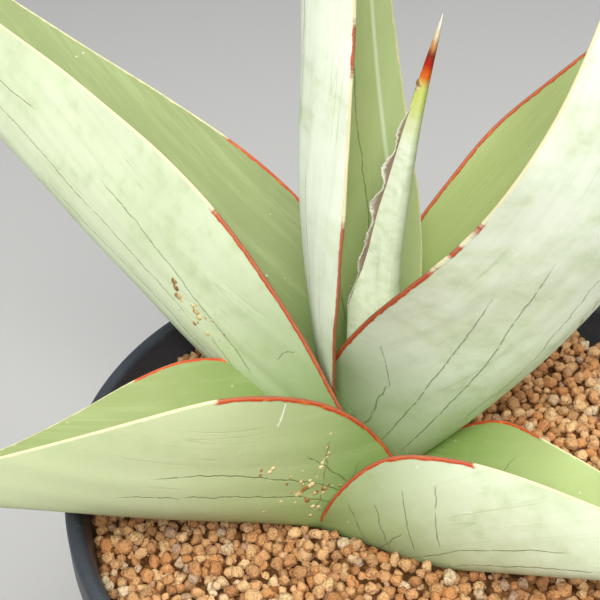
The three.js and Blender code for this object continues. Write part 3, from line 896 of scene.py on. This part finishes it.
INNER_CRACKS = {
    "leaf_upright": [(0.08, 0.16, 0.85, 0.08, 0.4, 0.03), (0.12, 0.55, 0.5, 0.5, 0.26, 0.04)],
    "leaf_upper_left": [(0.2, 0.6, 0.42, 0.55, 0.26, 0.05)],
    "leaf_right_back": [(0.25, -0.55, 0.6, -0.42, 0.34, 0.04), (0.4, -0.75, 0.75, -0.62, 0.28, 0.05)],
    "leaf_lower_right": [(0.32, -0.62, 0.37, -0.8, 0.3, 0.03)],
}
# Scratches down to the pale flesh and healed brown scars, on the outer face.
SCRATCHES = {
    "leaf_lower_left": [(0.31, -0.98, 0.312, -0.84, 0.4, 0.01)],
    "leaf_upper_left": [(0.33, -0.2, 0.36, -0.21, 0.2, 0.01)],
    "leaf_lower_right": [(0.4, 0.62, 0.43, 0.63, 0.2, 0.01)],
}
SCARS = {"leaf_right": [(0.285, 0.05, 0.305, 0.12, 0.8, 0.02), (0.315, 0.1, 0.33, 0.14, 0.5, 0.02)]}
SWAY = 2.6  # the noise keeps near its middle, so a mark's wander is drawn this much stronger


def mark_mask(leaf, t, v, width, wander, mark):
    """1 along a mark and 0 off it: the distance in millimetres to a straight run in t and v that wanders."""
    t0, v0, t1, v1, breadth, sway = mark
    length_t, length_v = abs(t1 - t0) * leaf["length"], abs(v1 - v0) * leaf["width"][1]
    aside = (wander - 0.5) * (SWAY * sway)
    if length_t > length_v:
        share = (t - t0) / (t1 - t0)
        away = abs(v - (share * (v1 - v0) + v0) - aside) * width
    else:
        share = (v - v0) / (v1 - v0)
        away = abs(t - (share * (t1 - t0) + t0) - aside) * leaf["length"]
    return away.smooth(0.62 * breadth, 0.05 * breadth) * abs(share - 0.5).smooth(0.5, 0.38)


def leaf_finish(name):
    """Thick green skin under powdery wax, with cracks and flecks, and a horny red and cream margin."""
    leaf = LEAVES[name]
    finish = Finish(name + "_skin", specular=0.35)
    t, v, width = finish.attribute("blade")
    side = finish.number("face_side")
    inside = side.smooth(-0.3, 0.3)
    outside = 1 - inside
    along, across, layer = t * leaf["length"], v * width, side * 15
    flat = finish.spot(along, across, layer)
    edge = (1 - abs(v)) * width

    cloud = finish.noise(0.035, 4, 0.6, flat)
    mottle = finish.noise(0.45, 3, 0.6, flat)
    blotch = finish.noise(0.16, 3, 0.65, flat)
    grain = finish.noise(2.6, 2, 0.6, flat)
    streaks = finish.noise(0.7, 3, 0.6, finish.spot(along * 0.05, across, layer))
    hairs = finish.noise(0.22, 2, 0.5, finish.spot(along * 0.03, across, layer + 3))
    patches = finish.noise(0.05, 2, 0.5, flat).smooth(0.5, 0.62)
    hairline = abs(hairs - 0.5).smooth(0.008, 0.001) * patches
    flecks = finish.cells(0.32, flat).smooth(0.11, 0.05) * blotch.smooth(0.5, 0.6)
    wander = finish.noise(0.10, 4, 0.65, finish.spot(along, across, 7.0))

    def marks(kind, where):
        """All of a leaf's marks of one kind as one mask."""
        found = outside * 0.0
        for mark in kind.get(name, []):
            found = found.highest(mark_mask(leaf, t, v, width, wander, mark) * where)
        return found

    cracks = marks(CRACKS, outside).highest(marks(INNER_CRACKS, inside)) * mottle.smooth(0.28, 0.5)

    rubbed = (cloud * 0.6 + blotch * 0.4).smooth(0.4, 0.66)
    low = along.smooth(52.0, 4.0)
    # Each leaf's own bloom and channel colours carry painted light and shade for that leaf.
    finish.colour = finish.blend(rubbed * 0.45, leaf["bloom"], BARE)
    finish.coat(inside * 0.9, leaf["channel"])
    # Darker green towards the leaf's base, where low is 1, deepest on the inner face: painted shade low in
    # the crowded rosette.
    finish.coat(low * 0.8, DEEP)
    finish.coat(low * inside * 0.6, SHADED)
    finish.coat(streaks.smooth(0.45, 0.75) * 0.18, BARE)
    finish.coat(blotch.smooth(0.52, 0.72) * 0.14, VEIN)
    finish.coat(grain.smooth(0.62, 0.75) * 0.14, DEEP)
    finish.coat(hairline * 0.25, VEIN)
    finish.coat(cracks * 0.6, CRACK)
    finish.coat(flecks * 0.5, SCRATCH)
    finish.coat(marks(SCRATCHES, outside) * 0.85, SCRATCH)
    finish.coat(marks(SCARS, outside) * 0.8, SCAR)
    if name == "leaf_upright":  # its one margin painted as rolled in: a band of the outer colour, and a painted highlight along the crest
        finish.coat(v.smooth(0.74, 0.80) * inside * 0.35, BARE)
        finish.coat(abs(v - 0.77).smooth(0.03, 0.005) * inside * 0.55, BLOOM)

    # The margin: horn red along some stretches of each side, with ragged ends, and a pale rind elsewhere.
    here = t + (finish.noise(0.5, 3, 0.7, finish.spot(along, 0.0, 3.0)) - 0.5) * 0.05
    is_right = v.smooth(-0.1, 0.1)
    soft = 0.008
    red = outside * 0.0
    for stretches, on_side in zip(leaf["red"], (is_right, 1 - is_right)):
        for start, end in stretches:
            within = here.smooth(start - soft, start + soft) * here.smooth(end + soft, end - soft)
            red = red.highest(within * on_side)
    breadth = edge + (mottle - 0.5) * 0.7
    horn_mask = breadth.smooth(leaf["horn"], 0.6 * leaf["horn"]) * red
    horn = finish.blend(edge.smooth(0.02, 0.25), HORN_DARK, HORN)
    # Paler orange patches along the horn: painted highlight.
    horn_highlight_spots = finish.noise(0.5, 3, 0.7, flat).smooth(0.5, 0.72)
    finish.coat(horn_mask, finish.blend(horn_highlight_spots * 0.7, horn, HORN_HIGHLIGHT))
    finish.coat(breadth.smooth(0.42, 0.15) * (1 - red * 0.85) * 0.85, RIND)

    height = streaks * 0.14 + grain * 0.1 + mottle * 0.1 - cracks * 0.5 - hairline * 0.1 + horn_mask * 0.3
    return finish.done(0.62 + grain * 0.08 - cloud.smooth(0.5, 0.7) * 0.08, height, 0.3 * MM, 0.8)


# Colours up the spear's hard tip: where each one is full, as a share of the spear's length.
SPEAR_TIP = [
    (0.865, "cdd672"), (0.895, "dd6212"), (0.915, "b01c0a"), (0.93, "8a2a14"),
    (0.948, "cf9258"), (0.966, "ecd8b8"), (0.985, "f8f0e2"),
]
SPEAR_TIP_START = 0.745


def spear_finish(name):
    """The rolled spear's skin: pale green, and up its tip bands of orange, dark red, tan and dry white."""
    leaf = LEAVES[name]
    finish = Finish(name + "_skin", specular=0.4)
    t, v, width = finish.attribute("blade")
    along, across, layer = t * leaf["length"], v * width, finish.number("face_side") * 8
    flat = finish.spot(along, across, layer)
    streaks = finish.noise(0.9, 3, 0.6, finish.spot(along * 0.06, across, layer))
    mottle = finish.noise(0.6, 3, 0.6, flat)
    grain = finish.noise(3.0, 2, 0.6, flat)
    finish.colour = finish.blend(mottle.smooth(0.4, 0.7) * 0.4, BLOOM, BARE)
    finish.coat(streaks.smooth(0.5, 0.8) * 0.3, VEIN)
    here = t + (streaks - 0.5) * 0.02 + (mottle - 0.5) * 0.012
    before = SPEAR_TIP_START
    for at, shade in SPEAR_TIP:
        finish.coat(here.smooth(before, at), shade)
        before = at
    return finish.done(0.55 + grain * 0.1, streaks * 0.5 + mottle * 0.2 + grain * 0.15, 0.3 * MM, 0.8)


def granule_finish():
    """Baked clay: each granule its own buff, ochre or grey-brown, with pits, painted shade in their hollows
    and pale dust.
    """
    finish = Finish("baked_clay_granules", specular=0.2)
    tint = finish.number("tint")
    other = (tint * 37.0).fraction()
    coarse = finish.noise(520, 3, 0.65)
    fine = finish.noise(2300, 3, 0.7)
    pits = finish.cells(1500).smooth(0.34, 0.1)
    finish.colour = finish.blend(tint, "d4935a", "efc690")
    finish.coat(other.smooth(0.6, 0.95) * 0.7, "a97548")
    finish.coat(other.smooth(0.09, 0.02) * 0.7, "b09a88")
    finish.coat(other.smooth(0.4, 0.45) * other.smooth(0.5, 0.45), "ecd5ae")
    finish.coat(coarse.smooth(0.48, 0.7) * 0.5, "b57f48")
    finish.coat(fine.smooth(0.55, 0.75) * 0.45, "f2dfbd")
    # Darker brown in the pits: painted shade in the hollows.
    finish.coat(pits * coarse.smooth(0.4, 0.6) * 0.5, "7a4e2a")
    height = coarse * 1.2 + finish.noise(1100, 2, 0.6) * 0.7 + fine * 0.5 - pits * 0.2
    return finish.done(0.88 + fine * 0.1, height, 1.1 * MM)


def bed_finish():
    """The packed bed between the loose granules, lumpy as they are: their clay darkened as painted shade in
    the gaps, darkest in the crevices between its lumps.
    """
    finish = Finish("packed_clay", specular=0.1)
    lumps = finish.cells(330)
    fine = finish.noise(1500, 3, 0.7)
    # Dark clay, darkest between the lumps: painted shade in the gaps under the loose granules.
    finish.colour = finish.blend(lumps.smooth(0.1, 0.6), "8f6238", "4a2f18")
    finish.coat(fine.smooth(0.5, 0.7) * 0.3, "a87a4a")
    return finish.done(0.95 - fine * 0.05, 1 - lumps + fine * 0.3, 1.2 * MM)


def pot_finish():
    """Moulded black plastic: a fine even grain with small grey specks painted on as glints, faint rings of
    flow and some dust.
    """
    finish = Finish("moulded_black_plastic", specular=0.5)
    stipple = finish.noise(2600, 2, 0.6)
    blotch = finish.noise(60, 4, 0.6)
    dust = finish.noise(900, 3, 0.75).smooth(0.58, 0.74) * blotch.smooth(0.4, 0.65)
    glint_specks = finish.cells(1700).smooth(0.2, 0.06)
    finish.colour = finish.blend(blotch, "23272d", "3b414a")
    # Grey specks: painted glints on the grain.
    finish.coat(glint_specks * 0.5, "707a88")
    finish.coat(dust * 0.22, "8b8070")
    height = stipple * 0.5 + glint_specks * 0.3 + finish.noise(620, 3, 0.6) * 0.6
    return finish.done(0.36 + stipple * 0.16 + dust * 0.3, height, 0.4 * MM, 0.9)


def root_finish():
    """Fibrous straw-brown skin with darker scars."""
    finish = Finish("root_skin", specular=0.25)
    fibres = finish.noise(700, 4, 0.7)
    blotch = finish.noise(140, 3, 0.6)
    finish.colour = finish.blend(blotch, "a97d4a", "c9a06a")
    finish.coat(fibres.smooth(0.5, 0.68) * 0.6, "6e4a26")
    return finish.done(0.8 + fibres * 0.15, fibres * 0.6 + blotch * 0.4, 0.6 * MM)


def scab_finish():
    """Corky scabs: cream crowns with rusty hollows."""
    finish = Finish("corky_scab", specular=0.25)
    lumps = finish.noise(900, 3, 0.7)
    finish.colour = finish.blend(finish.noise(260, 2, 0.6).smooth(0.42, 0.62), "e0cd96", "96682e")
    finish.coat(lumps.smooth(0.5, 0.65) * 0.6, "ece0b8")
    return finish.done(0.75 + lumps * 0.2, lumps, 0.3 * MM)


def paper_finish():
    """Dry torn skin: white at the free edge, grey-brown where it joins."""
    finish = Finish("dry_papery_skin", specular=0.2)
    fibres = finish.noise(500, 4, 0.7)
    free = (finish.number("torn") + (fibres - 0.5) * 1.2).smooth(0.35, 0.95)
    finish.colour = finish.blend(free, "96816c", "f1ece2")
    finish.coat(fibres.smooth(0.55, 0.7) * 0.5, "8a7667")
    return finish.done(0.8 + fibres * 0.1, fibres, 0.3 * MM)


def dress(piece, material):
    """Gives a piece its one material."""
    piece.data.materials.clear()
    piece.data.materials.append(material)


# ---- The plant ----

SPEAR = "leaf_spear"
blades = {name: leaf_blade(name, leaf) for name, leaf in LEAVES.items() if name != SPEAR}
blades[SPEAR] = leaf_blade(SPEAR, LEAVES[SPEAR], stations=220, round_section=120)
for name, blade in blades.items():
    dress(blade, spear_finish(name) if name == SPEAR else leaf_finish(name))

dress(pot_shell(), pot_finish())
dress(soil_bed(), bed_finish())
clay = granule_finish()
for granules in loose_granules(list(blades.values())):
    dress(granules, clay)
dress(rhizome_and_roots(), root_finish())
dress(scab_lumps(), scab_finish())
torn_skin = papery_strip("spear_torn_skin", LEAVES[SPEAR], 1, (0.40, 0.84), width=2.1, seed=SEED + 6)
dress(torn_skin, paper_finish())

# ---- Studio ----

FLOOR_RADIUS = 3.0
FLOOR_SIDES = 96
FLOOR_DROP = 0.2 * MM  # the floor lies this far under the pot
RIM_CENTRE = Vector((0, 0, POT_HEIGHT))
CAMERA_PLACE = RIM_CENTRE + Vector((0, -0.172, 0.168))
CAMERA_AIM = RIM_CENTRE + Vector((-0.033, 0.051, 0))
LIGHT_AIM = Vector((-0.02, 0.01, POT_HEIGHT))


def studio_floor():
    """A wide level disc under the pot."""
    turn = np.linspace(0, 2 * np.pi, FLOOR_SIDES, endpoint=False)
    level = np.full(FLOOR_SIDES, -FLOOR_DROP)
    points = np.stack([FLOOR_RADIUS * np.cos(turn), FLOOR_RADIUS * np.sin(turn), level], -1)
    piece = new_piece("studio_floor", points, [list(range(FLOOR_SIDES))], smooth=False, body=None)
    finish = Finish("pale_floor", specular=0.1)
    finish.plug(finish.shader.inputs["Base Color"], "b9b8b5")
    finish.plug(finish.shader.inputs["Roughness"], 0.9)
    dress(piece, finish.material)


def aimed(name, data, place, aim):
    """Adds a lamp or a camera at a place, facing its aim and level from side to side."""
    thing = bpy.data.objects.new(name, data)
    thing.location = place
    thing.rotation_euler = (Vector(aim) - Vector(place)).to_track_quat("-Z", "Y").to_euler()
    bpy.context.scene.collection.objects.link(thing)
    return thing


def soft_light(name, place, size, power, colour=(1, 1, 1)):
    """A square soft box that faces the crown of the plant."""
    light = bpy.data.lights.new(name, "AREA")
    light.shape = "SQUARE"
    light.size = size
    light.energy = power
    light.color = colour
    aimed(name, light, place, LIGHT_AIM)


def studio_camera():
    """The viewing angle: steeply down from the front, close in on the crown."""
    lens = bpy.data.cameras.new("camera")
    lens.lens = 66
    lens.sensor_width = 36
    lens.clip_start = 0.01
    bpy.context.scene.camera = aimed("camera", lens, CAMERA_PLACE, CAMERA_AIM)


studio_floor()
studio_camera()
soft_light("key", (0.02, -0.62, 0.98), size=0.5, power=11.5, colour=(1.0, 0.99, 0.96))
soft_light("left", (-0.75, -0.25, 0.75), size=0.9, power=2.2)
soft_light("top", (0.50, 0.10, 1.02), size=0.9, power=8.0)
world = bpy.data.worlds.new("studio")
world.use_nodes = True
sky = world.node_tree.nodes["Background"]
sky.inputs["Color"].default_value = (0.9, 0.93, 1.0, 1)
sky.inputs["Strength"].default_value = 0.36
bpy.context.scene.world = world
bpy.context.scene.view_settings.view_transform = "Standard"
